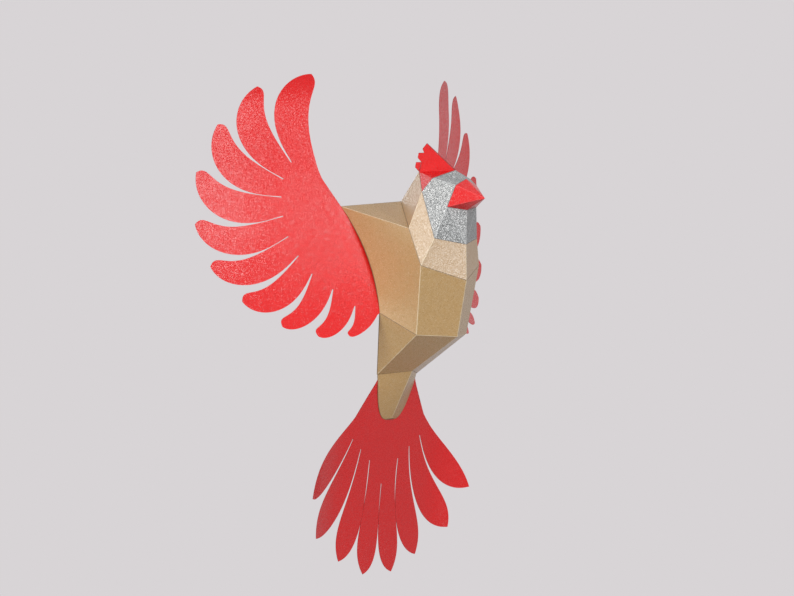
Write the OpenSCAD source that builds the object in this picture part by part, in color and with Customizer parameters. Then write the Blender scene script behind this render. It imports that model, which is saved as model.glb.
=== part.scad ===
// Hanging bird folded and glued from scored card, wings raised and tail fanned out below.
// The frame's origin is the nape, where the thread is tied. The bird looks along -Y, and +X is its left side.
// A corner is given by its half width, its reach ahead of the nape and its height above the nape.

/* [Card] */
// Thickness of the card
card = 0.4; // [0.25:0.05:0.6]
// Thickness of a glue line between two pieces
glue = 0.1; // [0.05:0.05:0.2]

/* [Crest] */
// Reach of the back of the crown
crown_reach = 21.5; // [19:0.5:24]
// Height of the back of the crown
crown_h = 25; // [22:0.5:28]
// Reach of the crest's tip
crest_reach = 31; // [28:0.5:36]
// Height of the crest's tip
crest_h = 48.5; // [42:0.5:60]
// Depth of the cuts between the crest's lobes
crest_cut = 6; // [4:0.25:8]
// Number of cuts in the crest's rear edge
crest_cuts = 2; // [1:1:3]

/* [Head] */
// Reach of the brow
brow_reach = 64; // [61:0.5:67]
// Height of the brow
brow_h = 25.5; // [23:0.5:28]
// Half width at the temples
temple_w = 22.5; // [20:0.5:25]
// Reach of the temples
temple_reach = 59.5; // [57:0.5:62]
// Height of the temples
temple_h = 18.5; // [16:0.5:21]
// Half width at the ears
ear_w = 28; // [26:0.5:30]
// Reach of the ears
ear_reach = 52.5; // [50:0.5:55]
// Height of the ears
ear_h = 7.5; // [5:0.5:10]
// Half width at the jaw
jaw_w = 25.5; // [23:0.5:28]
// Reach of the jaw
jaw_reach = 64.5; // [62:0.5:67]
// Height of the jaw
jaw_h = -31.5; // [-34:0.5:-29]
// Reach of the throat
throat_reach = 76.5; // [74:0.5:79]
// Height of the throat
throat_h = -36.5; // [-39:0.5:-34]

/* [Beak] */
// Reach of the beak's tip
beak_reach = 98; // [90:0.5:110]
// Height of the beak's tip
beak_h = 1.5; // [-3:0.5:6]
// Reach of the beak's upper root
beak_top_reach = 76.5; // [74:0.5:79]
// Height of the beak's upper root
beak_top_h = 18; // [16:0.5:20]
// Half width of the beak's upper root
beak_top_w = 12.5; // [11:0.5:14]
// Drop from the beak's upper root to its upper corners
beak_shoulder = 5.5; // [4:0.5:7]
// Half width at the corners of the mouth
mouth_w = 17.5; // [16:0.5:19]
// Reach of the corners of the mouth
mouth_reach = 71.5; // [70:0.5:73]
// Height of the corners of the mouth
mouth_h = -5.5; // [-7:0.5:-3]
// Reach of the beak's lower root
beak_low_reach = 77.5; // [76:0.5:79]
// Height of the beak's lower root
beak_low_h = -8; // [-10:0.5:-6]

/* [Collar] */
// Half width of the collar at its side corners
collar_w = 38; // [36:0.5:40]
// Reach of the collar's side corners
collar_reach = 47; // [45:0.5:49]
// Height of the collar's side corners
collar_h = -23; // [-25:0.5:-21]
// Half width of the collar at its front corners
bib_w = 35; // [33:0.5:37]
// Reach of the collar's front corners
bib_reach = 58; // [56:0.5:60]
// Height of the collar's front corners
bib_h = -54; // [-57:0.5:-51]
// Reach of the collar's lowest point
bib_tip_reach = 77; // [75:0.5:79]
// Height of the collar's lowest point
bib_tip_h = -66.5; // [-69:0.5:-64]

/* [Torso] */
// Reach of the keel's lower end
keel_reach = 66.5; // [63:0.5:70]
// Height of the keel's lower end
keel_h = -113.5; // [-117:0.5:-110]
// Half width at the hips
hip_w = 30; // [28:0.5:32]
// Reach of the hips
hip_reach = 48; // [45:0.5:51]
// Height of the hips
hip_h = -112; // [-115:0.5:-109]
// Reach of the vent, where the covert starts
vent_reach = 14; // [12:0.5:16]
// Height of the vent
vent_h = -143.5; // [-146:0.5:-141]
// Half width of the torso's lower end
tail_root_w = 24; // [22:0.5:26]
// Setback of the torso's lower end behind the nape
tail_root_back = 4.5; // [3:0.5:6]
// Height of the torso's lower end
tail_root_h = -146.5; // [-149:0.5:-144]
// Rise of the covert's tip out of the line of the tail
covert_lift = 2.5; // [1.5:0.25:4]
// Length of the covert below the vent
covert_drop = 42; // [34:1:50]

/* [Wings] */
// Sweep of each wing behind the line across the body, in degrees
sweep = 28; // [24:0.5:32]
// Reach of the line where the two wing planes would meet
wing_reach = 11; // [9:0.5:13]
// Height of the upper end of the wing's root
root_top = -4.5; // [-7:0.5:-2]
// Height of the lower end of the wing's root
root_low = -94; // [-97:0.5:-91]
// Distance out to the upper end of the root
root_top_out = 61.5; // [58:0.5:65]
// Distance out to the lower end of the root
root_low_out = 33; // [30:0.5:36]
// Width of the glue tab inside the root
tab_w = 7; // [5:0.5:9]
// Height below which the wing curls forward
curl_low = 33; // [20:1:45]
// Radius of the lower curl
curl_low_r = 410; // [360:10:600]
// Height above which the wing curls forward
curl_high = 78; // [70:1:85]
// Radius of the upper curl
curl_high_r = 85; // [75:5:150]
// Distance out beyond which the feathers curl forward
curl_out = 120; // [110:1:130]
// Radius of the outer curl
curl_out_r = 400; // [300:10:600]
// Width of the cuts between the feathers at their inner ends
slit = 0.8; // [0.4:0.1:1.2]

/* [Tail] */
// Radius of the tail's curve along its length
tail_r = 650; // [500:10:900]
// Tilt of the tail at its root, in degrees
tail_tilt = 16; // [14:0.5:18]
// Half width of the tail's root
tail_w = 20; // [18:0.5:21]
// Half width of the flat middle of the tail
tail_flat = 48; // [44:1:52]
// Radius of the forward curl at the tail's sides
tail_curl_r = 78; // [65:1:100]
// Length of the tail's root hidden inside the torso
tail_tuck = 12; // [8:1:16]

/* [Hidden] */

GOLD = [0.74, 0.62, 0.42];
SILVER = [0.62, 0.66, 0.69];
RED = [0.88, 0.11, 0.13];

// Outline of the crest's lobes, as shares of a lobe's length and of a cut's depth
LOBE = [[0, 0], [0.2, 0.9], [0.72, 1]];
LAST_LOBE = [[0, 0], [0.28, 0.5]];

EDGE_STEPS = 10;   // straight runs along each curved edge of a feather
FEATHER_COLUMNS = 2;  // facets across a feather
TAB_TAPER = 0.15;  // share of the root over which each end of the glue tab tapers
WEB_ROWS = 4;      // facets between a wing's root and its cuts
ROOT_STEPS = 10;   // straight runs along the wing's root
MITRE = 1.3;       // inward share of the card's thickness where folds meet at a rim
COVERT_POWER = 3;  // how full the covert's outline is toward its tip
ROOT_POWER = 2.2;  // how sharply the wing's root flares out at its top

// Feather tips and the inner ends of the cuts between them, as [distance out, height]
wing_tips = [[88, 106], [134, 95], [168, 63], [187, 23], [189, -20],
             [177, -55], [151, -84], [118, -105], [88, -113], [61, -113]];
wing_cuts = [[104, 32], [111, 18], [113, 3], [112, -13], [108, -30],
             [100, -46], [89, -61], [72, -74], [54, -88]];
// How full each feather's lower side is
wing_full = [1.1, 1.17, 1.1, 1.03, 0.9, 0.86, 0.93, 0.68, 0.66, 1];
// Where the first feather leaves the leading edge, and the bulge of that edge on its way there
lead_start = [82, 30];
lead_bulge = [2, -1.2];
// How far the lowest feather starts outside and below the root's lower end
last_start = [2, -1.5];

// A feather's edges are pulled off the chord from the inner end of its cut to its tip: each pull is a share
// of the chord along it, then across it. Toward the lower side of a wing's feather is positive
UPPER_EDGE = [[0.46, 0.08], [0.81, 0.16]];
UPPER_TIP = [0.85, 12, 0.27];    // share along, then the rounding and the most of it that a short one takes
LOWER_EDGE = [[0.14, 0.11], [0.4, 0.44], [0.91, 0.34]];
LEADING_EDGE = [[0.14, 0.02], [0.78, 0.22], [0.81, -0.17]];
LAST_EDGE = [[0.45, 0.18], [0.45, 0.11], [0.93, 0.16]];
// Outward is positive on the tail, and the inner edges start along their cut
OUTER_EDGE = [[0.39, -0.02], [0.62, 0.06], [0.8, 0.14]];
INNER_START = [0.22, 0.52];
INNER_TIP = [0.86, -0.24];

// The tail's outline on one side, from the outermost feather to the middle, as [half width, length]
tail_tips = [[94, 101.5], [79, 136.5], [46, 158.5], [17, 171.5]];
tail_cuts = [[40, 54.5], [29, 63.5], [17, 73.5], [0, 94.5]];
// The tail's side between its root corner and the outermost tip
tail_side = [[33, 22.5], [33, 45.5], [80.5, 57]];
FEATHER_START = 0.5;  // share of that side at which the outermost feather starts

function mid(a, b) = (a + b) / 2;
function unit(v) = v / norm(v);
function flip(p) = [-p.x, p.y, p.z];
function total(v, i = 0) = i == len(v) ? [0, 0, 0] : v[i] + total(v, i + 1);
function normal(p, f) = unit(cross(p[f[1]] - p[f[0]], p[f[2]] - p[f[0]]));
function bezier(p, t) = len(p) == 1 ? p[0]
    : bezier([for (i = [0:len(p) - 2]) p[i] + (p[i + 1] - p[i]) * t], t);
function pull(a, b, q) = a + (b - a) * q[0] + [(b - a).y, -(b - a).x] * q[1];
function edge(p) = [for (i = [0:EDGE_STEPS]) bezier(p, i / EDGE_STEPS)];
function chord_edge(a, b, pulls) = edge(concat([a], [for (q = pulls) pull(a, b, q)], [b]));
function bend(r, s) = s <= 0 ? 0 : r - sqrt(r * r - s * s);

// A corner of the left side from its half width, reach and height
function corner(w, reach, h) = [w, -reach, h];

// A point on the front face of the left wing, at a distance out along the sweep and a height
function wing_point(out, h) =
    let (forward = bend(curl_low_r, curl_low - h) + bend(curl_high_r, h - curl_high)
        + bend(curl_out_r, out - curl_out))
    [out * cos(sweep) + forward * sin(sweep), out * sin(sweep) - forward * cos(sweep) - wing_reach, h];
function root_h(s) = root_top + (root_low - root_top) * s;
function root_out(s) = root_low_out + (root_top_out - root_low_out) * pow(1 - s, ROOT_POWER);

root_s = [for (i = [0:ROOT_STEPS]) i / ROOT_STEPS];
ahead = [sin(sweep), -cos(sweep), 0];

// Corners of the folded skin: the middle line first, then the left side
nape = 0; crown = 1; brow = 2; beak_top = 3; beak_tip = 4;
beak_low = 5; throat = 6; bib_tip = 7; keel = 8; vent = 9;
temple = 10; beak_side = 11; mouth = 12; jaw = 13; ear = 14;
collar = 15; bib = 16; hip = 17; tail_root = 18; shoulder = 19; root = 20;
middle_count = 10;
middle = [corner(0, 0, 0), corner(0, crown_reach, crown_h), corner(0, brow_reach, brow_h),
          corner(0, beak_top_reach, beak_top_h), corner(0, beak_reach, beak_h),
          corner(0, beak_low_reach, beak_low_h), corner(0, throat_reach, throat_h),
          corner(0, bib_tip_reach, bib_tip_h), corner(0, keel_reach, keel_h),
          corner(0, vent_reach, vent_h)];
side = [corner(temple_w, temple_reach, temple_h),
        corner(beak_top_w, beak_top_reach, beak_top_h - beak_shoulder),
        corner(mouth_w, mouth_reach, mouth_h), corner(jaw_w, jaw_reach, jaw_h),
        corner(ear_w, ear_reach, ear_h), corner(collar_w, collar_reach, collar_h),
        corner(bib_w, bib_reach, bib_h), corner(hip_w, hip_reach, hip_h),
        corner(tail_root_w, -tail_root_back, tail_root_h), corner(glue / 2, 0, 0)];
rim = [for (s = root_s) wing_point(root_out(s), root_h(s)) + glue * ahead];

// The torso's side is ruled from its front fold to the wing's root
fold_steps = ROOT_STEPS / 2;
front_fold = [for (i = [1:ROOT_STEPS - 1]) if (i != fold_steps) i < fold_steps
    ? side[5] + (side[6] - side[5]) * i / fold_steps
    : side[6] + (side[7] - side[6]) * (i - fold_steps) / fold_steps];
front = root + ROOT_STEPS + 1;
left = concat(side, rim, front_fold);
left_count = len(left);
skin = concat(middle, left, [for (p = left) flip(p)]);
function front_at(i) = i == 0 ? collar : i == fold_steps ? bib : i == ROOT_STEPS ? hip
    : front + i - (i < fold_steps ? 1 : 2);
function other(i) = i < middle_count ? i : i + left_count;
function both(faces) = concat(faces, [for (f = faces) [other(f[0]), other(f[2]), other(f[1])]]);

mask_faces = both([[temple, beak_side, mouth], [temple, mouth, ear], [ear, mouth, jaw],
                   [mouth, beak_low, throat], [mouth, throat, jaw],
                   [brow, beak_top, beak_side], [brow, beak_side, temple]]);
beak_faces = both([[beak_top, beak_tip, beak_side], [beak_side, beak_tip, mouth],
                   [mouth, beak_tip, beak_low]]);
crest_faces = both([[crown, brow, temple], [crown, temple, ear]]);
collar_faces = both(concat([[nape, crown, ear], [nape, ear, collar], [collar, ear, jaw]],
    [for (i = [0:fold_steps - 1]) [front_at(i), jaw, front_at(i + 1)]],
    [[bib, jaw, throat], [bib, throat, bib_tip]]));
side_faces = both([for (i = [0:ROOT_STEPS - 1]) each [
    [root + i, front_at(i), root + i + 1], [root + i + 1, front_at(i), front_at(i + 1)]]]);
breast_faces = both(concat(
    [for (i = [fold_steps:ROOT_STEPS - 1]) [front_at(i), bib_tip, front_at(i + 1)]],
    [[hip, bib_tip, keel]]));
torso_faces = concat(side_faces, breast_faces,
    both([[shoulder, collar, root], [root + ROOT_STEPS, hip, tail_root],
          [hip, keel, vent], [hip, vent, tail_root]]));
skin_faces = concat(mask_faces, beak_faces, crest_faces, collar_faces, torso_faces);

// The skin's inner face: each corner moves in by the card's thickness from all the facets round it
function lies_on(f, i) = f[0] == i || f[1] == i || f[2] == i;
function inset(i) =
    let (n = [for (f = skin_faces) if (lies_on(f, i)) normal(skin, f)], m = unit(total(n)))
    skin[i] - m * card / max(0.5, min([for (k = n) k * m]));
function rim_inset(i) = let (s = root_s[i])
    wing_point(root_out(s) - MITRE * card, root_h(s) - (i == 0 ? MITRE * card : 0)) + glue * ahead;
inner_left = [for (i = [0:left_count - 1]) let (k = middle_count + i)
    k == tail_root ? skin[k] + [-MITRE * card, 0, card]
    : k == shoulder ? skin[k] - [0, 0, MITRE * card]
    : k >= root && k <= root + ROOT_STEPS ? rim_inset(k - root) : inset(k)];
inner_skin = concat([for (i = [0:middle_count - 1]) i == nape ? [0, 0, -MITRE * card] : inset(i)],
                    inner_left, [for (p = inner_left) flip(p)]);

// A sheet of card: outer facets, listed counter-clockwise from outside, the same facets on the
// inner face, and the cut edges between them
module sheet(outer, inner, faces) {
    n = len(outer);
    edges = [for (f = faces) each [[f[0], f[1]], [f[1], f[2]], [f[2], f[0]]]];
    cut = [for (e = edges) if (len([for (g = edges) if (g[0] == e[1] && g[1] == e[0]) 1]) == 0) e];
    used = [for (i = [0:n - 1]) len([for (f = faces) if (lies_on(f, i)) 1]) > 0];
    slot = [for (i = 0, k = 0; i < n; k = k + (used[i] ? 1 : 0), i = i + 1) k];
    count = len([for (u = used) if (u) 1]);
    points = concat([for (i = [0:n - 1]) if (used[i]) outer[i]], [for (i = [0:n - 1]) if (used[i]) inner[i]]);
    polyhedron(points, concat(
        [for (f = faces) [slot[f[0]], slot[f[2]], slot[f[1]]]],
        [for (f = faces) [slot[f[0]] + count, slot[f[1]] + count, slot[f[2]] + count]],
        [for (e = cut) let (a = slot[e[0]], b = slot[e[1]])
            each a < b ? [[a, b, b + count], [a, b + count, a + count]]
                       : [[a, b, a + count], [b, b + count, a + count]]]));
}

module torso() {
    color(GOLD) sheet(skin, inner_skin, torso_faces);
}

module neck_collar() {
    color(GOLD) sheet(skin, inner_skin, collar_faces);
}

module face_mask() {
    color(SILVER) sheet(skin, inner_skin, mask_faces);
}

module beak() {
    color(RED) sheet(skin, inner_skin, beak_faces);
}

// The crest's fin is the same sheet doubled along the middle line, with lobes cut into its rear edge
module crest_fin() {
    step = [crest_reach - crown_reach, crest_h - crown_h] / (crest_cuts + 1);
    along = unit(step);
    inward = [along.y, -along.x];
    start = [crown_reach, crown_h];
    lobes = [for (i = [0:crest_cuts], q = i < crest_cuts ? LOBE : LAST_LOBE)
        start + step * (i + q[0]) - inward * crest_cut * q[1]];
    rotate([90, 0, -90])
        translate([0, 0, -card])
            linear_extrude(2 * card)
                polygon(concat(lobes, [[crest_reach, crest_h], [brow_reach, brow_h],
                    [brow_reach - card, brow_h - card], [crown_reach + card, crown_h - card]]));
}

module crest() {
    color(RED) {
        sheet(skin, inner_skin, crest_faces);
        crest_fin();
    }
}

// The back closes the torso from the shoulders to the tail, and lies behind the wings' glue tabs
module back_panel() {
    edge = concat([for (s = root_s) wing_point(root_out(s), root_h(s)) - ahead * (card + glue)],
        [[tail_root_w, tail_root_back + glue, tail_root_h]]);
    n = len(edge);
    spine = [for (p = edge) [0, glue + tail_root_back * p.z / tail_root_h, p.z]];
    face = concat([[0, glue, 0]], spine, edge, [for (p = edge) flip(p)]);
    back = [for (p = face) p + [0, card, 0]];
    faces = [for (i = [1:n - 1]) each [
        [i, i + n, i + n + 1], [i, i + n + 1, i + 1],
        [i, i + 2 * n + 1, i + 2 * n], [i, i + 1, i + 2 * n + 1]]];
    color(GOLD) sheet(back, face, concat([[0, n + 1, 1], [0, 1, 2 * n + 1]], faces));
}

// Undertail covert: a ridged tongue with a parabolic outline, glued inside the torso's lower rim
module undertail_covert() {
    steps = 12;
    top = inner_skin[vent];
    corner_point = inner_skin[tail_root];
    tip = [0, tail_y(vent_h - covert_drop) - covert_lift, vent_h - covert_drop];
    share = [for (i = [0:steps]) 1 - i / steps];
    ridge = [for (w = share) top + (tip - top) * (1 - pow(w, COVERT_POWER))];
    // Its side edges lie on the tail wherever they would otherwise pass behind it
    edge = [for (i = [0:steps - 1]) let (p = ridge[i] + (corner_point - top) * share[i])
        [p.x, i == 0 ? p.y : min(p.y, tail_y(p.z) - card - glue), p.z]];
    outer = concat(ridge, edge, [for (p = edge) flip(p)]);
    inner = [for (p = outer) p + [0, card, 0]];
    one = steps + 1;
    two = one + steps;
    faces = [for (i = [0:steps - 2]) each [
        [i, i + 1, one + i + 1], [i, one + i + 1, one + i],
        [i, two + i + 1, i + 1], [i, two + i, two + i + 1]]];
    last = steps - 1;
    color(GOLD)
        sheet(outer, inner, concat(faces, [[last, steps, one + last], [last, two + last, steps]]));
}

// A sheet cut into feathers. rows run from the root to the line of the cuts, upper and lower are each
// feather's edges from that line to its tip, and front and back put a flat point on the two faces
module feathered_sheet(rows, upper, lower, front, back) {
    count = len(upper);
    across = FEATHER_COLUMNS + 1;
    width = count * across;
    steps = len(upper[0]) - 1;
    deep = len(rows);
    line = [for (i = [0:count - 1], c = [0:FEATHER_COLUMNS])
        upper[i][0] + (lower[i][0] - upper[i][0]) * c / FEATHER_COLUMNS];
    vane = [for (i = [0:count - 1]) each concat(
        [for (j = [1:steps - 1], c = [0:FEATHER_COLUMNS])
            upper[i][j] + (lower[i][j] - upper[i][j]) * c / FEATHER_COLUMNS], [upper[i][steps]])];
    flat = concat([for (r = rows) each r], line, vane);
    vane_size = (steps - 1) * across + 1;
    function at(i, j, c) = j == 0 ? deep * width + i * across + c
        : (deep + 1) * width + i * vane_size + (j == steps ? vane_size - 1 : (j - 1) * across + c);
    web = [for (r = [0:deep - 1], k = [0:width - 2]) let (a = r * width + k) each [
        [a, a + width, a + width + 1], [a, a + width + 1, a + 1]]];
    vanes = [for (i = [0:count - 1], j = [0:steps - 1], c = [0:FEATHER_COLUMNS - 1]) each
        j == steps - 1 ? [[at(i, j, c), at(i, steps, 0), at(i, j, c + 1)]]
        : [[at(i, j, c), at(i, j + 1, c), at(i, j + 1, c + 1)],
           [at(i, j, c), at(i, j + 1, c + 1), at(i, j, c + 1)]]];
    sheet([for (p = flat) back(p)], [for (p = flat) front(p)], concat(web, vanes));
}

module wing() {
    n = len(wing_tips);
    ends = concat([lead_start], wing_cuts, [[root_low_out, root_low] + last_start]);
    // Each cut is a slit about the chord of the feather below it
    half_slit = [for (i = [1:n - 1]) let (d = unit(wing_tips[i] - ends[i])) [d.y, -d.x] * slit / 2];
    tip_round = [for (i = [0:n - 1]) min(UPPER_TIP[1] / norm(wing_tips[i] - ends[i]), UPPER_TIP[2])];
    upper = [for (i = [0:n - 1]) i == 0 ? chord_edge(ends[0], wing_tips[0], LEADING_EDGE)
        : chord_edge(ends[i] + half_slit[i - 1], wing_tips[i],
                     concat(UPPER_EDGE, [[UPPER_TIP[0], -tip_round[i]]]))];
    lower = [for (i = [0:n - 1]) i == n - 1 ? chord_edge(ends[n], wing_tips[i], LAST_EDGE)
        : chord_edge(ends[i + 1] - half_slit[i], wing_tips[i],
                     [for (q = LOWER_EDGE) [q[0], q[1] * wing_full[i]]])];
    width = n * (FEATHER_COLUMNS + 1);
    line = [for (i = [0:n - 1], c = [0:FEATHER_COLUMNS])
        upper[i][0] + (lower[i][0] - upper[i][0]) * c / FEATHER_COLUMNS];
    share = [for (k = [0:width - 1]) k / (width - 1)];
    root_row = [for (s = share) [root_out(s), root_h(s)]];
    tab_row = [for (s = share) [root_out(s) - max(card, tab_w * min(1, s / TAB_TAPER, (1 - s) / TAB_TAPER)),
                                root_h(s)]];
    web = [for (r = [1:WEB_ROWS - 1]) let (t = r / WEB_ROWS) [for (k = [0:width - 1])
        root_row[k] + (line[k] - root_row[k]) * t
            + (k == 0 ? lead_bulge * 4 * t * (1 - t) : [0, 0])]];
    feathered_sheet(concat([tab_row, root_row], web), upper, lower,
        function(p) wing_point(p.x, p.y), function(p) wing_point(p.x, p.y) - ahead * card);
}

module wing_left() {
    color(RED) wing();
}

module wing_right() {
    color(RED) mirror([1, 0, 0]) wing();
}

// The tail's middle line is an arc that leaves the torso at its tilt and straightens downward
tail_top = [tail_root_back - card, tail_root_h];
tail_axis = tail_top - tail_r * [cos(tail_tilt), sin(tail_tilt)];
function tail_y(h) = tail_axis.x + sqrt(tail_r * tail_r - pow(h - tail_axis.y, 2));
function tail_point(p) = let (h = tail_root_h - p.y)
    [p.x, tail_y(h) - bend(tail_curl_r, abs(p.x) - tail_flat), h];

module tail_fan() {
    n = len(tail_tips);
    side_line = concat([[tail_w, 0]], tail_side, [tail_tips[0]]);
    inner_edge = [for (i = [0:n - 1]) let (tip = tail_tips[i], end = tail_cuts[i] + [slit / 2, 0],
            way = unit(i == n - 1 ? [0, 1] : tail_tips[i + 1] - tail_cuts[i]) * norm(tip - end))
        edge([end, end + way * INNER_START[0], end + way * INNER_START[1], pull(end, tip, INNER_TIP), tip])];
    outer_edge = [for (i = [0:n - 1]) i == 0
        ? [for (j = [0:EDGE_STEPS]) bezier(side_line, FEATHER_START + (1 - FEATHER_START) * j / EDGE_STEPS)]
        : chord_edge(tail_cuts[i - 1] - [slit / 2, 0], tail_tips[i], OUTER_EDGE)];
    left_half = [for (i = [0:n - 1]) [outer_edge[i], inner_edge[i]]];
    right_half = [for (i = [n - 1:-1:0]) [
        [for (p = inner_edge[i]) [-p.x, p.y]], [for (p = outer_edge[i]) [-p.x, p.y]]]];
    feathers = concat(left_half, right_half);
    upper = [for (f = feathers) f[0]];
    lower = [for (f = feathers) f[1]];
    width = len(feathers) * (FEATHER_COLUMNS + 1);
    line = [for (f = feathers, c = [0:FEATHER_COLUMNS]) f[0][0] + (f[1][0] - f[0][0]) * c / FEATHER_COLUMNS];
    tuck_row = [for (k = [0:width - 1]) [tail_w * (1 - 2 * k / (width - 1)), -tail_tuck]];
    root_row = [for (p = tuck_row) [p.x, 0]];
    side = [for (r = [1:WEB_ROWS - 1]) bezier(side_line, FEATHER_START * r / WEB_ROWS)];
    web = [for (r = [1:WEB_ROWS - 1]) let (t = r / WEB_ROWS) [for (k = [0:width - 1])
        k == 0 ? side[r - 1] : k == width - 1 ? [-side[r - 1].x, side[r - 1].y]
        : root_row[k] + (line[k] - root_row[k]) * t]];
    color(RED) feathered_sheet(concat([tuck_row, root_row], web), upper, lower,
        function(p) tail_point(p), function(p) tail_point(p) + [0, card, 0]);
}

torso();
back_panel();
neck_collar();
face_mask();
beak();
crest();
undertail_covert();
tail_fan();
wing_left();
wing_right();
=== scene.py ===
"""A paper cardinal that hangs in the air, folded and glued from pearlescent card.

The folded pieces are copies of the frame's own facets. Their corners hold the distance to every
fold and cut edge, and the material draws both from it. The wings and the tail are drawn flat, as
they are cut, and then curled by Geometry Nodes.
"""
import math

import bmesh
import bpy
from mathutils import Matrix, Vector


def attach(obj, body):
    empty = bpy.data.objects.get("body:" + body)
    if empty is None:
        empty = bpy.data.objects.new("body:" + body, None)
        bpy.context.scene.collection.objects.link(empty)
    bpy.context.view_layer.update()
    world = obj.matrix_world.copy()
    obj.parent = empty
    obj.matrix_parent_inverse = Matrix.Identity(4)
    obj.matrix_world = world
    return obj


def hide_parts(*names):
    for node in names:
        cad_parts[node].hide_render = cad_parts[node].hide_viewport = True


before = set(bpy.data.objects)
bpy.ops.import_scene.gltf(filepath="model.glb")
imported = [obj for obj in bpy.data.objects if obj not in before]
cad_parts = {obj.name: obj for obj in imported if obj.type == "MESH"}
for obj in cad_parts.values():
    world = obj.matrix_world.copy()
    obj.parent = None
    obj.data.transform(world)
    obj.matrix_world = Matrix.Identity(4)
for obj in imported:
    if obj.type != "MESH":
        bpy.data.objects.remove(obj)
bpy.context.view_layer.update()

MM = 0.001
CARD = 0.4 * MM

# ---------------------------------------------------------------- colours, as they look in daylight


def shade(red, green, blue):
    """A colour given as it looks on a screen, 0 to 255, made linear."""
    return tuple((c / 255 / 12.92 if c <= 10 else ((c / 255 + 0.055) / 1.055) ** 2.4)
                 for c in (red, green, blue)) + (1.0,)


BACKGROUND = shade(216, 212, 214)
ROOM = shade(88, 86, 84)
GOLD = shade(186, 150, 94)
GOLD_SHADE = shade(170, 134, 80)
# The flake colours, here and below, are partly the mica's own tint and partly a painted glint.
GOLD_FLAKE_AND_GLINT = shade(255, 246, 222)
# The collar's copy of the gold card, with more and paler flakes and a stronger reflection, makes the
# collar look more lit: a painted highlight.
COLLAR_GOLD = shade(184, 150, 104)
COLLAR_GOLD_SHADE = shade(168, 134, 88)
COLLAR_FLAKE_AND_GLINT = shade(255, 248, 228)
# The crease colours, here and below, are paler along the folds: partly worn coating and partly a
# painted highlight of the fold.
GOLD_CREASE_WEAR_AND_HIGHLIGHT = shade(236, 222, 190)
# The cut colours, here and below, are the card's darker core on its cut edges and painted shade in the
# seams between pieces.
GOLD_CUT_AND_SEAM_SHADE = shade(118, 94, 62)
SILVER = shade(96, 102, 102)
SILVER_SHADE = shade(78, 83, 82)
SILVER_FLAKE_AND_GLINT = shade(245, 250, 252)
SILVER_CREASE_WEAR_AND_HIGHLIGHT = shade(186, 190, 192)
SILVER_CUT_AND_SEAM_SHADE = shade(78, 80, 80)
RED = shade(232, 0, 3)
RED_SHADE = shade(222, 0, 1)
RED_FLAKE_AND_GLINT = shade(255, 120, 130)
RED_CREASE_WEAR_AND_HIGHLIGHT = shade(238, 60, 64)
RED_CUT_AND_SEAM_SHADE = shade(150, 8, 12)


# ---------------------------------------------------------------- small helpers for node trees


class Tree:
    """Adds nodes to a tree and links their inputs in one call."""

    def __init__(self, tree):
        self.tree = tree

    def add(self, kind, inputs=None, **settings):
        node = self.tree.nodes.new(kind)
        for key, value in settings.items():
            setattr(node, key, value)
        for key, value in (inputs or {}).items():
            self.put(node.inputs[key], value)
        return node

    def put(self, socket, value):
        if isinstance(value, bpy.types.NodeSocket):
            self.tree.links.new(value, socket)
        else:
            socket.default_value = value

    def math(self, operation, a, b=0.0, c=0.0):
        return self.add("ShaderNodeMath", {0: a, 1: b, 2: c}, operation=operation).outputs[0]

    def vector(self, operation, inputs):
        return self.add("ShaderNodeVectorMath", inputs, operation=operation).outputs[0]

    def mix(self, factor, a, b):
        node = self.add("ShaderNodeMix", data_type="RGBA")
        self.put(node.inputs["Factor"], factor)
        self.put(node.inputs[6], a)
        self.put(node.inputs[7], b)
        return node.outputs[2]

    def noise(self, place, scale, detail):
        inputs = {"Vector": place, "Scale": scale, "Detail": detail}
        return self.add("ShaderNodeTexNoise", inputs).outputs["Fac"]


def new_group(name, kind, inputs, outputs):
    """An empty node group with its named sockets; inputs are (name, socket type, default value)."""
    group = bpy.data.node_groups.new(name, kind)
    for label, socket, value in inputs:
        item = group.interface.new_socket(label, in_out="INPUT", socket_type=socket)
        if value is not None:
            item.default_value = value
    for label, socket in outputs:
        group.interface.new_socket(label, in_out="OUTPUT", socket_type=socket)
    tree = Tree(group)
    return group, tree, tree.add("NodeGroupInput").outputs, tree.add("NodeGroupOutput").inputs


# ---------------------------------------------------------------- the pearlescent card

# The noises' scales are in cells per metre of card
MOTTLE, MOTTLE_SHARE = 260.0, 0.8
GRAIN = 1500.0
FIBRE, FIBRE_SHARE = 320.0, 0.6
PATCHES = 140.0
CREASE_WEAR_AND_HIGHLIGHT_LEAST, CREASE_WEAR_AND_HIGHLIGHT_SPREAD = 0.35, 0.7
WORN_ROUGHER = 0.3
LINE_DEPTH = 1.5
LINE_CORE = 0.45          # share of a line's width that is drawn in full
RELIEF_DEPTH = 0.1 * MM


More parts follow.
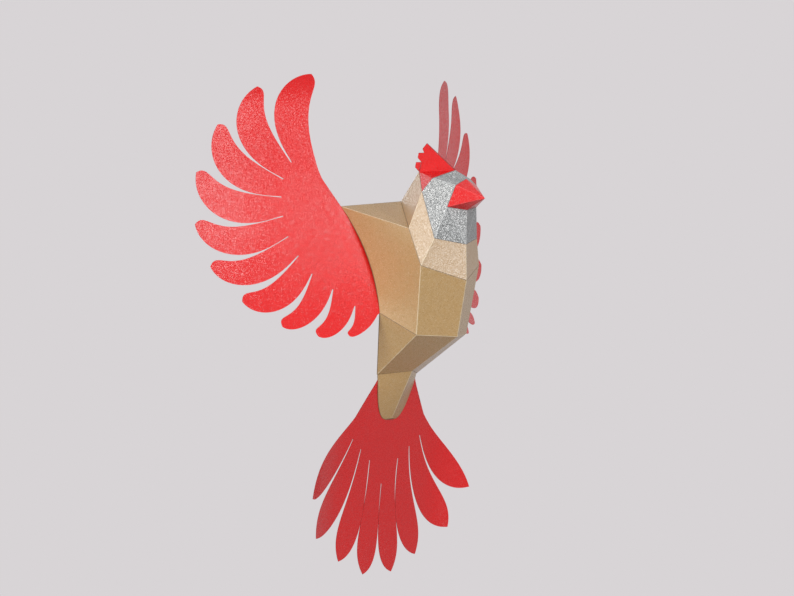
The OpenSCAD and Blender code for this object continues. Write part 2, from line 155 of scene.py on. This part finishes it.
def pearl_group():
    """Mica flakes in a coating: small cells that differ in tint, gloss and lean, over a soft grain.
    The paler colour mixed into some cells is partly the flakes' own tint and partly a painted glint.
    """
    group, t, given, out = new_group(
        "pearl_coating", "ShaderNodeTree",
        [("Colour", "NodeSocketColor", GOLD), ("Shade", "NodeSocketColor", GOLD_SHADE),
         ("Flake and Glint Colour", "NodeSocketColor", GOLD_FLAKE_AND_GLINT),
         ("Flakes per Metre", "NodeSocketFloat", 2000.0), ("Flake Share", "NodeSocketFloat", 0.3),
         ("Flake Strength", "NodeSocketFloat", 0.3), ("Flake Tilt", "NodeSocketFloat", 0.2),
         ("Gloss", "NodeSocketFloat", 0.4), ("Gloss Spread", "NodeSocketFloat", 0.12)],
        [("Colour", "NodeSocketColor"), ("Roughness", "NodeSocketFloat"),
         ("Height", "NodeSocketFloat"), ("Normal", "NodeSocketVector")])
    place = t.add("ShaderNodeTexCoord").outputs["Object"]
    cells = t.add("ShaderNodeTexVoronoi", {"Vector": place, "Scale": given["Flakes per Metre"]},
                  feature="F1")
    cell = t.add("ShaderNodeSeparateColor", {0: cells.outputs["Color"]}).outputs
    mottle = t.math("MULTIPLY", t.noise(place, MOTTLE, 3.0), MOTTLE_SHARE)
    base = t.mix(mottle, given["Colour"], given["Shade"])
    # Painted glint: cells above the flake share are mixed towards the paler flake colour, which is
    # partly the flakes' own tint.
    bright = t.math("GREATER_THAN", cell[0], t.math("SUBTRACT", 1.0, given["Flake Share"]))
    strength = t.math("MULTIPLY", bright, t.math("MULTIPLY", cell[1], given["Flake Strength"]))
    t.put(out["Colour"], t.mix(strength, base, given["Flake and Glint Colour"]))
    spread = t.math("MULTIPLY", t.math("SUBTRACT", cell[2], 0.5), given["Gloss Spread"])
    t.put(out["Roughness"], t.math("ADD", given["Gloss"], spread))
    lean = t.vector("SUBTRACT", {0: cells.outputs["Color"], 1: (0.5, 0.5, 0.5)})
    lean = t.vector("SCALE", {0: lean, "Scale": given["Flake Tilt"]})
    straight = t.add("ShaderNodeNewGeometry").outputs["Normal"]
    leaning = t.vector("ADD", {0: straight, 1: lean})
    t.put(out["Normal"], t.vector("NORMALIZE", {0: leaning}))
    fibre = t.math("MULTIPLY", t.noise(place, FIBRE, 4.0), FIBRE_SHARE)
    t.put(out["Height"], t.math("ADD", t.noise(place, GRAIN, 2.0), fibre))
    return group


def nearness(t, attribute, width):
    """1 on a drawn line and 0 from width away.

    The attribute holds the distances to a facet's three edges."""
    away = t.add("ShaderNodeAttribute", attribute_name=attribute).outputs["Vector"]
    sides = t.add("ShaderNodeSeparateXYZ", {0: away}).outputs
    nearest = t.math("MINIMUM", t.math("MINIMUM", sides["X"], sides["Y"]), sides["Z"])
    ramp = t.add("ShaderNodeMapRange",
                 {"Value": nearest, "From Min": t.math("MULTIPLY", width, LINE_CORE),
                  "From Max": width, "To Min": 1.0, "To Max": 0.0})
    return ramp.outputs["Result"]


def wear_and_painted_light_group():
    """Folds are paler, partly worn coating and partly a painted highlight; cut edges show the darker
    core, and beside seams painted shade.
    """
    group, t, given, out = new_group(
        "creases_and_cuts", "ShaderNodeTree",
        [("Colour", "NodeSocketColor", GOLD), ("Crease Wear and Highlight Colour", "NodeSocketColor", GOLD_CREASE_WEAR_AND_HIGHLIGHT),
         ("Cut and Seam Shade Colour", "NodeSocketColor", GOLD_CUT_AND_SEAM_SHADE), ("Roughness", "NodeSocketFloat", 0.4),
         ("Height", "NodeSocketFloat", 0.0), ("Crease Width", "NodeSocketFloat", 0.45 * MM),
         ("Seam Width", "NodeSocketFloat", 0.4 * MM)],
        [("Colour", "NodeSocketColor"), ("Roughness", "NodeSocketFloat"),
         ("Height", "NodeSocketFloat")])
    place = t.add("ShaderNodeTexCoord").outputs["Object"]
    fold = nearness(t, "fold_reach", given["Crease Width"])
    # Darker along cut edges: the card's core on the cut faces, and painted seam shade on the faces
    # beside them.
    cut = nearness(t, "cut_reach", given["Seam Width"])
    patches = t.math("MULTIPLY_ADD", t.noise(place, PATCHES, 3.0), CREASE_WEAR_AND_HIGHLIGHT_SPREAD, CREASE_WEAR_AND_HIGHLIGHT_LEAST)
    # Paler along folds in patches: partly worn coating and partly a painted highlight.
    wear_and_painted_light = t.math("MULTIPLY", fold, patches)
    creased = t.mix(wear_and_painted_light, given["Colour"], given["Crease Wear and Highlight Colour"])
    t.put(out["Colour"], t.mix(cut, creased, given["Cut and Seam Shade Colour"]))
    lines = t.math("MAXIMUM", wear_and_painted_light, cut)
    t.put(out["Roughness"], t.math("MULTIPLY_ADD", lines, WORN_ROUGHER, given["Roughness"]))
    sunk = t.math("MULTIPLY", t.math("ADD", fold, cut), LINE_DEPTH)
    t.put(out["Height"], t.math("SUBTRACT", given["Height"], sunk))
    return group


PEARL = pearl_group()
WEAR_AND_PAINTED_LIGHT = wear_and_painted_light_group()


def card_material(name, coating, wear_and_painted_light, pearl_index, gloss, flake_share, sparkle, tilt, relief):
    """coating is the card's colour, its shade and its flakes', partly a painted glint; the next
    colours are its creases', partly a painted highlight, and its cuts', partly painted seam shade.
    """
    material = bpy.data.materials.new(name)
    material.use_nodes = True
    t = Tree(material.node_tree)
    shader = material.node_tree.nodes["Principled BSDF"].inputs
    pearl = t.add("ShaderNodeGroup", node_tree=PEARL)
    wear_and_painted_light_node = t.add("ShaderNodeGroup", node_tree=WEAR_AND_PAINTED_LIGHT)
    for key, value in zip(("Colour", "Shade", "Flake and Glint Colour", "Gloss", "Flake Share",
                           "Flake Strength", "Flake Tilt"),
                          coating + (gloss, flake_share, sparkle, tilt)):
        t.put(pearl.inputs[key], value)
    for key in ("Colour", "Roughness", "Height"):
        t.put(wear_and_painted_light_node.inputs[key], pearl.outputs[key])
    for key, value in zip(("Crease Wear and Highlight Colour", "Cut and Seam Shade Colour"), wear_and_painted_light):
        t.put(wear_and_painted_light_node.inputs[key], value)
    bump = t.add("ShaderNodeBump",
                 {"Normal": pearl.outputs["Normal"], "Height": wear_and_painted_light_node.outputs["Height"],
                  "Strength": relief, "Distance": RELIEF_DEPTH})
    t.put(shader["Base Color"], wear_and_painted_light_node.outputs["Colour"])
    t.put(shader["Roughness"], wear_and_painted_light_node.outputs["Roughness"])
    t.put(shader["IOR"], pearl_index)
    t.put(shader["Normal"], bump.outputs["Normal"])
    return material


GOLD_CARD = card_material("gold_card", (GOLD, GOLD_SHADE, GOLD_FLAKE_AND_GLINT), (GOLD_CREASE_WEAR_AND_HIGHLIGHT, GOLD_CUT_AND_SEAM_SHADE),
                          pearl_index=1.8, gloss=0.32, flake_share=0.3, sparkle=0.2, tilt=0.14,
                          relief=0.5)
# A copy of the gold card that makes the collar look more lit: painted highlight.
LIT_COLLAR_CARD = card_material("lit_collar_gold_card", (COLLAR_GOLD, COLLAR_GOLD_SHADE, COLLAR_FLAKE_AND_GLINT),
                            (GOLD_CREASE_WEAR_AND_HIGHLIGHT, GOLD_CUT_AND_SEAM_SHADE), pearl_index=2.2, gloss=0.34, flake_share=0.35,
                            sparkle=0.25, tilt=0.16, relief=0.5)
SILVER_CARD = card_material("silver_card", (SILVER, SILVER_SHADE, SILVER_FLAKE_AND_GLINT),
                            (SILVER_CREASE_WEAR_AND_HIGHLIGHT, SILVER_CUT_AND_SEAM_SHADE), pearl_index=2.5, gloss=0.28,
                            flake_share=0.4, sparkle=0.5, tilt=0.5, relief=0.6)
RED_CARD = card_material("red_card", (RED, RED_SHADE, RED_FLAKE_AND_GLINT), (RED_CREASE_WEAR_AND_HIGHLIGHT, RED_CUT_AND_SEAM_SHADE),
                         pearl_index=1.6, gloss=0.26, flake_share=0.25, sparkle=0.1, tilt=0.24,
                         relief=0.6)


def mark(mesh, name, values):
    """Writes a distance for each of a facet's three edges on every corner of the mesh."""
    layer = mesh.attributes.new(name, "FLOAT_VECTOR", "CORNER")
    layer.data.foreach_set("vector", [number for value in values for number in value])


def finish_piece(mesh, name, node, material):
    """Makes the mesh a piece that stands for a node of the frame."""
    mesh.materials.clear()
    mesh.materials.append(material)
    mesh.polygons.foreach_set("use_smooth", [True] * len(mesh.polygons))
    piece = bpy.data.objects.new(name, mesh)
    bpy.context.scene.collection.objects.link(piece)
    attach(piece, "root")
    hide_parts(node)
    return piece


# ---------------------------------------------------------------- the folded pieces

RIM_WIDTH = 0.95 * MM     # narrower faces than this are the card's cut edges
WELD = 0.01 * MM
NEAR_LINE = 0.05 * MM
FOLD_ANGLE = math.radians(6)
ON_LINE = (0.0, 0.0, 0.0)
FAR = 1.0

# Corners of the torso's side: it bends softly between its front fold and the wing's root
WING_LOW = Vector((38.4, -12.9, -94)) * MM
HIP = Vector((30.2, -48.1, -111.8)) * MM
WING_TOP = Vector((55, 16.3, -4.3)) * MM
NECK_SIDE = Vector((38.2, -47, -23.1)) * MM
ROOT_SLACK = 0.02
ROOT_NEAR = 0.8


def narrow(face):
    return 2 * face.calc_area() / max(e.calc_length() for e in face.edges) < RIM_WIDTH


def joins(edge, a, b):
    """Whether the edge runs from a to b, on either side of the bird."""
    ends = [Vector((abs(v.co.x), v.co.y, v.co.z)) for v in edge.verts]
    return any((p - a).length < MM and (q - b).length < MM for p, q in (ends, ends[::-1]))


def distances(face, corner, kinds, wanted):
    """From a facet's corner to each of its edges of the wanted kind. Other edges count as far."""
    found = []
    for side in face.loops:
        if kinds.get(side.edge) != wanted:
            found.append(FAR)
        elif corner in side.edge.verts:
            found.append(0.0)
        else:
            found.append(2 * face.calc_area() / side.edge.calc_length())
    return tuple(found)


def folded_piece(node, material, soft=None):
    """Copies a node's facets and measures each corner's distance to the folds and cuts round it.

    soft says which bends are curved card and no folds."""
    bm = bmesh.new()
    bm.from_mesh(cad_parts[node].data)
    bmesh.ops.remove_doubles(bm, verts=bm.verts, dist=WELD)
    rim = {f for f in bm.faces if narrow(f)}
    kinds = {}
    for edge in bm.edges:
        narrows = sum(f in rim for f in edge.link_faces)
        # The torso's glued join from the wing's low corner to the hip is drawn as a cut: a dark line
        # of painted seam shade.
        if narrows == 1 or node == "torso" and joins(edge, WING_LOW, HIP):
            kinds[edge] = "cut"
        elif not narrows and edge.calc_face_angle(0) > FOLD_ANGLE and not (soft and soft(edge)):
            kinds[edge] = "fold"
        edge.smooth = edge not in kinds and narrows != 2
    folds, cuts = [], []
    for face in bm.faces:
        for loop in face.loops:
            folds.append(distances(face, loop.vert, kinds, "fold"))
            # Rim faces take the cut colour in full; the outer faces beside them get a band of painted
            # seam shade.
            cuts.append(ON_LINE if face in rim else distances(face, loop.vert, kinds, "cut"))
    mesh = bpy.data.meshes.new(node + "_card")
    bm.to_mesh(mesh)
    bm.free()
    mark(mesh, "fold_reach", folds)
    mark(mesh, "cut_reach", cuts)
    return finish_piece(mesh, node + "_card", node, material)


def on_wing_root(point):
    out = abs(point.x) / MM * math.cos(SWEEP) + (point.y / MM + WING_REACH) * math.sin(SWEEP)
    share = (point.z / MM - ROOT_TOP) / (ROOT_LOW - ROOT_TOP)
    if not -ROOT_SLACK < share < 1 + ROOT_SLACK:
        return False
    return abs(out - root_point(min(1, max(0, share))).x) < ROOT_NEAR


def soft_side(edge):
    """The torso's side, from its front fold to the wing's root."""
    if joins(edge, WING_TOP, NECK_SIDE):
        return False
    return all(any(on_wing_root(v.co) for v in f.verts) for f in edge.link_faces)


def off_middle(edge):
    return not all(abs(v.co.x) < NEAR_LINE for v in edge.verts)


# ---------------------------------------------------------------- the feathers, drawn flat

EDGE_STEPS = 32
COLUMNS = 6
SLIT = 0.8


def bezier(points, t):
    while len(points) > 1:
        points = [a.lerp(b, t) for a, b in zip(points, points[1:])]
    return points[0]


def flat(*pairs):
    return [Vector(p) for p in pairs]


def pulled(a, b, pull):
    """A point given as shares of the chord from a to b: along it, then across it."""
    chord = b - a
    return a + chord * pull[0] + Vector((chord.y, -chord.x)) * pull[1]


def edge_line(points):
    return [bezier(points, i / EDGE_STEPS) for i in range(EDGE_STEPS + 1)]


def chord_edge(a, b, pulls):
    return edge_line([a] + [pulled(a, b, p) for p in pulls] + [b])


def across(upper, lower, step=0):
    """The columns of points from each feather's upper edge to its lower, as one row."""
    return [u[step].lerp(v[step], c / COLUMNS)
            for u, v in zip(upper, lower) for c in range(COLUMNS + 1)]


def flat_card(name, rows, upper, lower, front_sign):
    """A flat card in the XZ plane, its front at Y 0, and the points of one of its faces.

    It has rows of points from the root to the cuts, then a strip for each feather. The faces are
    listed with the front first, then the back, then the cut edges."""
    rows = rows + [across(upper, lower)]
    points = [p for row in rows for p in row]
    width = len(rows[-1])
    faces = []
    for r in range(len(rows) - 1):
        for a in range(r * width, (r + 1) * width - 1):
            faces.append((a, a + width, a + width + 1, a + 1))
    for i, (top, bottom) in enumerate(zip(upper, lower)):
        line = [(len(rows) - 1) * width + i * (COLUMNS + 1) + c for c in range(COLUMNS + 1)]
        for j in range(1, EDGE_STEPS):
            following = list(range(len(points), len(points) + COLUMNS + 1))
            points += across([top], [bottom], j)
            faces += [(line[c], following[c], following[c + 1], line[c + 1])
                      for c in range(COLUMNS)]
            line = following
        points.append(top[EDGE_STEPS])
        faces += [(line[c], len(points) - 1, line[c + 1]) for c in range(COLUMNS)]
    if front_sign < 0:
        faces = [tuple(reversed(f)) for f in faces]
    total = len(points)
    sides = {(f[k], f[(k + 1) % len(f)]) for f in faces for k in range(len(f))}
    back = [tuple(total + k for k in reversed(f)) for f in faces]
    rim = [(b, a, a + total, b + total) for a, b in sides if (b, a) not in sides]
    mesh = bpy.data.meshes.new(name)
    mesh.from_pydata([(p.x * MM, depth, p.y * MM) for depth in (0.0, CARD) for p in points], [],
                     faces + back + rim)
    cut = mesh.attributes.new("cut_edge", "FLOAT", "FACE")
    cut.data.foreach_set("value", [0.0] * (2 * len(faces)) + [1.0] * len(rim))
    return mesh, points


# ---------------------------------------------------------------- curling by Geometry Nodes

SWEEP = math.radians(28)
WING_REACH = 11
WING_INPUTS = [("Side", 1.0), ("Sweep", SWEEP), ("Reach", WING_REACH * MM),
               ("Low Start", 33 * MM), ("Low Radius", 410 * MM), ("High Start", 78 * MM),
               ("High Radius", 85 * MM), ("Outer Start", 120 * MM), ("Outer Radius", 400 * MM)]
TAIL_INPUTS = [("Arc Radius", 650 * MM), ("Arc Centre Y", 0.0), ("Arc Centre Z", 0.0),
               ("Flat Half Width", 48 * MM), ("Side Radius", 78 * MM)]
SMOOTH_ANGLE = math.radians(35)


def bent(t, radius, distance):
    """How far a sheet that follows an arc has left its plane at a distance past the arc's start."""
    past = t.math("MAXIMUM", distance, 0.0)
    square = t.math("SUBTRACT", t.math("MULTIPLY", radius, radius), t.math("MULTIPLY", past, past))
    return t.math("SUBTRACT", radius, t.math("SQRT", square))


def curl_tree(name, inputs):
    return new_group(
        name, "GeometryNodeTree",
        [("Geometry", "NodeSocketGeometry", None)]
        + [(label, "NodeSocketFloat", value) for label, value in inputs]
        + [("Material", "NodeSocketMaterial", None)],
        [("Geometry", "NodeSocketGeometry")])


def position_of(t):
    position = t.add("GeometryNodeInputPosition").outputs[0]
    return t.add("ShaderNodeSeparateXYZ", {0: position}).outputs


def place_and_finish(t, given, out, x, y, z):
    position = t.add("ShaderNodeCombineXYZ", {"X": x, "Y": y, "Z": z}).outputs[0]
    moved = t.add("GeometryNodeSetPosition", {"Geometry": given["Geometry"], "Position": position})
    real = t.add("GeometryNodeRealizeInstances", {"Geometry": moved.outputs[0]})
    painted = t.add("GeometryNodeSetMaterial",
                    {"Geometry": real.outputs[0], "Material": given["Material"]})
    t.put(out["Geometry"], painted.outputs[0])


def wing_curl_tree():
    """Sweeps the upright wing back and curls its lower, upper and outer parts forward."""
    group, t, given, out = curl_tree("wing_curl", WING_INPUTS)
    place = position_of(t)
    away, height = place["X"], place["Z"]
    roll = t.add("GeometryNodeInputNamedAttribute", {"Name": "root_roll"},
                 data_type="FLOAT").outputs[0]
    forward = bent(t, given["Low Radius"], t.math("SUBTRACT", given["Low Start"], height))
    for part, along in (("High", height), ("Outer", away)):
        past = t.math("SUBTRACT", along, given[part + " Start"])
        forward = t.math("ADD", forward, bent(t, given[part + " Radius"], past))
    forward = t.math("SUBTRACT", forward, t.math("ADD", roll, place["Y"]))
    sine, cosine = t.math("SINE", given["Sweep"]), t.math("COSINE", given["Sweep"])
    x = t.math("ADD", t.math("MULTIPLY", away, cosine), t.math("MULTIPLY", forward, sine))
    y = t.math("SUBTRACT", t.math("MULTIPLY", away, sine), t.math("MULTIPLY", forward, cosine))
    place_and_finish(t, given, out, t.math("MULTIPLY", x, given["Side"]),
                     t.math("SUBTRACT", y, given["Reach"]), height)
    return group


def tail_curl_tree():
    """Hangs the flat tail along an arc and curls its sides forward."""
    group, t, given, out = curl_tree("tail_curl", TAIL_INPUTS)
    place = position_of(t)
    rise = t.math("SUBTRACT", place["Z"], given["Arc Centre Z"])
    radius = given["Arc Radius"]
    square = t.math("SUBTRACT", t.math("MULTIPLY", radius, radius), t.math("MULTIPLY", rise, rise))
    middle = t.math("ADD", given["Arc Centre Y"], t.math("SQRT", square))
    aside = t.math("SUBTRACT", t.math("ABSOLUTE", place["X"]), given["Flat Half Width"])
    middle = t.math("ADD", middle, place["Y"])
    place_and_finish(t, given, out, place["X"],
                     t.math("SUBTRACT", middle, bent(t, given["Side Radius"], aside)), place["Z"])
    return group


def curled_piece(name, node, mesh, tree, values):
    """Runs the flat card through its tree and marks its cut edges."""
    piece = bpy.data.objects.new(name + "_flat", mesh)
    bpy.context.scene.collection.objects.link(piece)
    curl = piece.modifiers.new("curl", "NODES")
    curl.node_group = tree
    sockets = {s.name: s.identifier for s in tree.interface.items_tree if s.in_out == "INPUT"}
    for label, value in values:
        curl[sockets[label]] = value
    curl[sockets["Material"]] = RED_CARD
    curled = piece.evaluated_get(bpy.context.evaluated_depsgraph_get())
    card = bpy.data.meshes.new_from_object(curled)
    bpy.data.objects.remove(piece)
    card.name = name
    cut = [value.value for value in card.attributes["cut_edge"].data]
    mark(card, "cut_reach", [ON_LINE if cut[p.index] else (FAR,) * 3
                             for p in card.polygons for _ in p.vertices])
    mark(card, "fold_reach", [(FAR,) * 3] * len(card.loops))
    finished = finish_piece(card, name, node, RED_CARD)
    card.set_sharp_from_angle(angle=SMOOTH_ANGLE)
    return finished


# ---------------------------------------------------------------- the wings

ROOT_TOP, ROOT_LOW = -4.5, -94.0
ROOT_TOP_OUT, ROOT_LOW_OUT = 61.5, 33.0
ROOT_POWER = 2.2
TAB_WIDTH, TAB_TAPER, TAB_LEAST = 7.0, 0.15, 0.4
WING_ROWS, ROW_POWER = 14, 1.4
ROLL_WIDTH, ROLL_DEPTH = 6.0, 1.6

WING_TIPS = flat((88, 106), (134, 95), (168, 63), (187, 23), (189, -20),
                 (177, -55), (151, -84), (118, -105), (88, -113), (61, -113))
WING_CUTS = flat((104, 32), (111, 18), (113, 3), (112, -13), (108, -30), (100, -46), (89, -61),
                 (72, -74), (54, -88))
WING_FULL = [1.1, 1.17, 1.1, 1.03, 0.9, 0.86, 0.93, 0.68, 0.66]
LEAD_START = Vector((82, 30))
LEAD_BULGE = Vector((2, -1.2))
LAST_START = Vector((ROOT_LOW_OUT + 2, ROOT_LOW - 1.5))
UPPER_EDGE = [(0.46, 0.08), (0.81, 0.16)]
UPPER_TIP, UPPER_ROUND, UPPER_ROUND_MOST = 0.85, 12, 0.27
LOWER_EDGE = [(0.14, 0.11), (0.4, 0.44), (0.91, 0.34)]
LEADING_EDGE = [(0.14, 0.02), (0.78, 0.22), (0.81, -0.17)]
LAST_EDGE = [(0.45, 0.18), (0.45, 0.11), (0.93, 0.16)]


def root_point(share):
    out = ROOT_LOW_OUT + (ROOT_TOP_OUT - ROOT_LOW_OUT) * (1 - share) ** ROOT_POWER
    return Vector((out, ROOT_TOP + (ROOT_LOW - ROOT_TOP) * share))


def upper_edge(start, tip):
    rounding = min(UPPER_ROUND / (tip - start).length, UPPER_ROUND_MOST)
    return UPPER_EDGE + [(UPPER_TIP, -rounding)]


def wing_outline():
    """The upper and the lower edge of each feather, half a slit's width away from its cuts."""
    half_slit = []
    for cut, tip in zip(WING_CUTS, WING_TIPS[1:]):
        way = (tip - cut).normalized()
        half_slit.append(Vector((way.y, -way.x)) * SLIT / 2)
    upper = [chord_edge(LEAD_START, WING_TIPS[0], LEADING_EDGE)]
    for cut, half, tip in zip(WING_CUTS, half_slit, WING_TIPS[1:]):
        upper.append(chord_edge(cut + half, tip, upper_edge(cut, tip)))
    lower = [chord_edge(cut - half, tip, [(a, b * full) for a, b in LOWER_EDGE])
             for cut, half, tip, full in zip(WING_CUTS, half_slit, WING_TIPS, WING_FULL)]
    lower.append(chord_edge(LAST_START, WING_TIPS[-1], LAST_EDGE))
    return upper, lower


def wing_rows(upper, lower):
    """Rows of points from the tab's edge past the root towards the cuts, each from the top down."""
    line = across(upper, lower)
    width = len(line)
    shares = [k / (width - 1) for k in range(width)]
    root = [root_point(s) for s in shares]
    tab = [p - Vector((max(TAB_LEAST, TAB_WIDTH * min(1, s / TAB_TAPER, (1 - s) / TAB_TAPER)), 0))
           for p, s in zip(root, shares)]
    rows = [tab, root]
    for r in range(1, WING_ROWS):
        t = (r / WING_ROWS) ** ROW_POWER
        row = [a.lerp(b, t) for a, b in zip(root, line)]
        row[0] += LEAD_BULGE * 4 * t * (1 - t)
        rows.append(row)
    return rows


def root_roll(point):
    """The card rolls back a little where it enters the body, most at the middle of the root."""
    share = (point.y - ROOT_TOP) / (ROOT_LOW - ROOT_TOP)
    if not 0 < share < 1:
        return 0.0
    away = point.x - root_point(share).x
    near = min(1.0, max(0.0, 1 - away / ROLL_WIDTH))
    return near * near * math.sin(math.pi * share) * ROLL_DEPTH * MM


def wing(side, name, node):
    upper, lower = wing_outline()
    mesh, points = flat_card(name + "_outline", wing_rows(upper, lower), upper, lower, -side)
    roll = mesh.attributes.new("root_roll", "FLOAT", "POINT")
    roll.data.foreach_set("value", [root_roll(p) for p in points] * 2)
    values = [(label, side if label == "Side" else value) for label, value in WING_INPUTS]
    return curled_piece(name, node, mesh, WING_CURL, values)


# ---------------------------------------------------------------- the tail

TAIL_ROOT_Y, TAIL_ROOT_Z = 4.1, -146.5
TAIL_RADIUS, TAIL_TILT = 650.0, math.radians(16)
TAIL_W, TAIL_TUCK = 20.0, 12.0
TAIL_ROWS = 12
TAIL_TIPS = flat((94, 101.5), (79, 136.5), (46, 158.5), (17, 171.5))
TAIL_CUTS = flat((40, 54.5), (29, 63.5), (17, 73.5), (0, 94.5))
TAIL_SIDE = flat((TAIL_W, 0), (33, 22.5), (33, 45.5), (80.5, 57), (94, 101.5))
FEATHER_START = 0.5
OUTER_EDGE = [(0.39, -0.02), (0.62, 0.06), (0.8, 0.14)]
INNER_START = (0.22, 0.52)
INNER_TIP = (0.86, -0.24)


def tail_half():
    """Each feather's outer and inner edge on one side, as half width and length below the root."""
    outer_feather = [bezier(TAIL_SIDE, FEATHER_START + (1 - FEATHER_START) * j / EDGE_STEPS)
                     for j in range(EDGE_STEPS + 1)]
    pairs = []
    for i, (tip, cut) in enumerate(zip(TAIL_TIPS, TAIL_CUTS)):
        end = cut + Vector((SLIT / 2, 0))
        way = Vector((0, 1)) if i == len(TAIL_TIPS) - 1 else (TAIL_TIPS[i + 1] - cut).normalized()
        way = way * (tip - end).length
        inner = edge_line([end, end + way * INNER_START[0], end + way * INNER_START[1],
                           pulled(end, tip, INNER_TIP), tip])
        outer = outer_feather if i == 0 else \
            chord_edge(TAIL_CUTS[i - 1] - Vector((SLIT / 2, 0)), tip, OUTER_EDGE)
        pairs.append((outer, inner))
    return pairs


def hang(point, side=1):
    """From half width and length to the flat sheet's X and Z."""
    return Vector((point.x * side, TAIL_ROOT_Z - point.y))


def tail():
    half = tail_half()
    upper = [[hang(p) for p in outer] for outer, _ in half]
    upper += [[hang(p, -1) for p in inner] for _, inner in reversed(half)]
    lower = [[hang(p) for p in inner] for _, inner in half]
    lower += [[hang(p, -1) for p in outer] for outer, _ in reversed(half)]
    line = across(upper, lower)
    width = len(line)
    root = [hang(Vector((TAIL_W * (1 - 2 * k / (width - 1)), 0))) for k in range(width)]
    rows = [[p + Vector((0, TAIL_TUCK)) for p in root], root]
    for r in range(1, TAIL_ROWS):
        t = r / TAIL_ROWS
        row = [a.lerp(b, t) for a, b in zip(root, line)]
        edge = bezier(TAIL_SIDE, FEATHER_START * t)
        row[0], row[-1] = hang(edge), hang(edge, -1)
        rows.append(row)
    mesh, _ = flat_card("tail_outline", rows, upper, lower, -1)
    places = {"Arc Centre Y": (TAIL_ROOT_Y - TAIL_RADIUS * math.cos(TAIL_TILT)) * MM,
              "Arc Centre Z": (TAIL_ROOT_Z - TAIL_RADIUS * math.sin(TAIL_TILT)) * MM}
    values = [(label, places.get(label, value)) for label, value in TAIL_INPUTS]
    return curled_piece("tail", "tail_fan", mesh, tail_curl_tree(), values)


# ---------------------------------------------------------------- all the pieces

folded_piece("torso", GOLD_CARD, soft_side)
folded_piece("back_panel", GOLD_CARD, off_middle)
folded_piece("neck_collar", LIT_COLLAR_CARD)
folded_piece("undertail_covert", GOLD_CARD, off_middle)
folded_piece("face_mask", SILVER_CARD)
folded_piece("beak", RED_CARD)
folded_piece("crest", RED_CARD)
WING_CURL = wing_curl_tree()
wing(1.0, "left_wing", "wing_left")
wing(-1.0, "right_wing", "wing_right")
tail()


# ---------------------------------------------------------------- camera, light and background

CAMERA_AT = Vector((-1877.8, -1873.0, -36.7)) * MM
LOOK_AT = Vector((0, 4.8, -82.1)) * MM
LENS = 141.67
SENSOR = 36

WHITE = (1.0, 1.0, 1.0)
WARM = (1.0, 0.99, 0.97)
PANEL = (0.9, 0.9)
TALL_BOX = (0.36, 1.0)
LAMP_AWAY = 2.7
# Name, direction from the bird, size in metres, watts, colour
LAMPS = [("beside_camera", (-0.62, -0.68, 0.3), PANEL, 22.0, WARM),
         ("front_softbox", (0.0, -1.0, 0.17), TALL_BOX, 17.0, WHITE),
         ("window", (-0.98, 0.12, -0.12), PANEL, 8.0, WARM),
         ("low_left", (-1.0, -0.2, -0.4), PANEL, 18.0, (1.0, 0.98, 0.96)),
         ("high_left", (-1.0, 0.1, 0.5), PANEL, 24.0, WARM),
         ("overhead", (-0.1, -0.2, 1.0), PANEL, 14.0, WHITE),
         ("behind", (0.8, 1.0, 0.1), PANEL, 12.0, WHITE),
         ("far_side", (0.6, -0.8, 0.2), PANEL, 9.0, (1.0, 0.99, 0.98))]


def aim(thing, place):
    """Puts a camera or a lamp at its place, turned to the bird."""
    thing.location = place
    thing.rotation_euler = (LOOK_AT - place).to_track_quat("-Z", "Y").to_euler()
    bpy.context.scene.collection.objects.link(thing)


camera = bpy.data.objects.new("camera", bpy.data.cameras.new("camera"))
camera.data.lens = LENS
camera.data.sensor_width = SENSOR
aim(camera, CAMERA_AT)
bpy.context.scene.camera = camera

for name, direction, size, power, colour in LAMPS:
    lamp = bpy.data.lights.new(name, "AREA")
    lamp.shape = "RECTANGLE"
    lamp.size, lamp.size_y = size
    lamp.energy = power
    lamp.color = colour
    aim(bpy.data.objects.new(name, lamp), LOOK_AT + Vector(direction).normalized() * LAMP_AWAY)

world = bpy.data.worlds.new("studio")
bpy.context.scene.world = world
world.use_nodes = True
sky = Tree(world.node_tree)
surround = world.node_tree.nodes["Background"]
path = sky.add("ShaderNodeLightPath").outputs
seen = sky.math("MAXIMUM", path["Is Camera Ray"], path["Is Transmission Ray"])
seen = sky.math("MAXIMUM", seen, path["Is Glossy Ray"])
sky.put(surround.inputs["Color"], sky.mix(seen, ROOM, BACKGROUND))

bpy.context.scene.view_settings.view_transform = "Standard"
